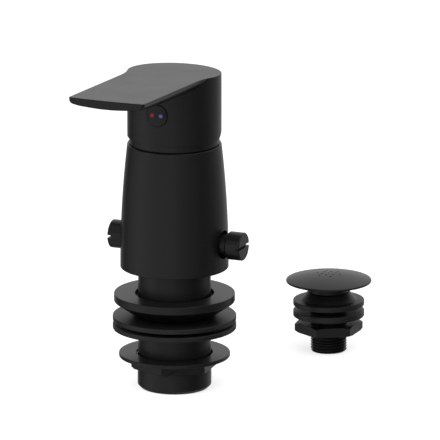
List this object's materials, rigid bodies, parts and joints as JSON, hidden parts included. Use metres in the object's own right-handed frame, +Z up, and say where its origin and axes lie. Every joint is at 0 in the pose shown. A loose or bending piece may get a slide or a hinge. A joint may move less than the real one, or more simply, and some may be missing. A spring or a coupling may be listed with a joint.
{
  "type": "bidet mixer",
  "caption": "Single-lever bidet mixer on a hollow clamping stud with deck flange, washers and side service stops, beside its rising spray rose.",
  "frame": {"origin": "centre of the hose passage's mouth at the foot of the clamping stud, on the surface the mixer stands on", "axes": "+Z up the stud and body, the lever points to -Y, the service stops lie along X with hot on -X"},
  "size_m": [0.0931, 0.1893, 0.1556],
  "materials": {
    "satin_black": "satin black powder coat",
    "rubber": "moulded black rubber",
    "seal_rubber": "smooth black rubber",
    "brass": "turned",
    "steel": "ground",
    "acetal": "moulded",
    "ceramic": "lapped",
    "red_dot": "inlaid",
    "blue_dot": "inlaid"
  },
  "bodies": {
    "mixer": {"mixer_body": "satin_black", "clamp_stud": "satin_black", "stud_seal": "seal_rubber", "metal_washer": "satin_black", "lower_rubber_washer": "rubber", "upper_rubber_washer": "rubber", "deck_flange": "satin_black", "cover_ring": "satin_black", "cartridge_nut": "brass", "cartridge_housing": "acetal", "cartridge_base": "acetal", "port_seals": "seal_rubber", "fixed_disc": "ceramic", "rose_body": "satin_black", "rose_cap": "satin_black", "rose_cone_seal": "rubber", "rose_flat_seal": "rubber", "rose_nut": "satin_black"},
    "rotor": {"rotor": "acetal", "pivot_pin": "steel"},
    "lever": {"handle": "satin_black", "lever_stem": "steel", "set_screw": "steel", "index_button": "satin_black", "hot_dot": "red_dot", "cold_dot": "blue_dot"},
    "disc_carrier": {"disc_carrier": "acetal", "moving_disc": "ceramic"},
    "hot_jumper": {"hot_jumper": "brass", "hot_washer": "seal_rubber"},
    "hot_spindle": {"hot_spindle": "satin_black", "hot_o_ring": "seal_rubber"},
    "cold_jumper": {"cold_jumper": "brass", "cold_washer": "seal_rubber"},
    "cold_spindle": {"cold_spindle": "satin_black", "cold_o_ring": "seal_rubber"}
  },
  "joints": [
    {"name": "temperature_turn", "type": "hinge", "parent": "mixer", "child": "rotor", "pos_m": [0, 0, 0.1281], "axis": [0, 0, 1], "range_deg": [-45, 45]},
    {"name": "flow_lift", "type": "hinge", "parent": "rotor", "child": "lever", "pos_m": [0, 0, 0.1281], "axis": [-1, 0, 0], "range_deg": [0, 22]},
    {"name": "disc_slide", "type": "slide", "parent": "rotor", "child": "disc_carrier", "axis": [0, -1, 0], "range_m": [0, 0.00535]},
    {"name": "hot_stop_travel", "type": "slide", "parent": "mixer", "child": "hot_jumper", "axis": [-1, 0, 0], "range_m": [0, 0.0036]},
    {"name": "hot_stop_turn", "type": "hinge", "parent": "hot_jumper", "child": "hot_spindle", "pos_m": [-0.0275, 0, 0.0698], "axis": [-1, 0, 0], "range_deg": [0, 1080]},
    {"name": "cold_stop_travel", "type": "slide", "parent": "mixer", "child": "cold_jumper", "axis": [1, 0, 0], "range_m": [-0.0036, 0]},
    {"name": "cold_stop_turn", "type": "hinge", "parent": "cold_jumper", "child": "cold_spindle", "pos_m": [0.0275, 0, 0.0698], "axis": [1, 0, 0], "range_deg": [-1080, 0]}
  ],
  "couplings": [
    {"joint": "disc_slide", "follows": "flow_lift", "m_per_rad": 0.013914},
    {"joint": "hot_stop_travel", "follows": "hot_stop_turn", "m_per_rad": 0.00019098},
    {"joint": "cold_stop_travel", "follows": "cold_stop_turn", "m_per_rad": 0.00019098}
  ]
}
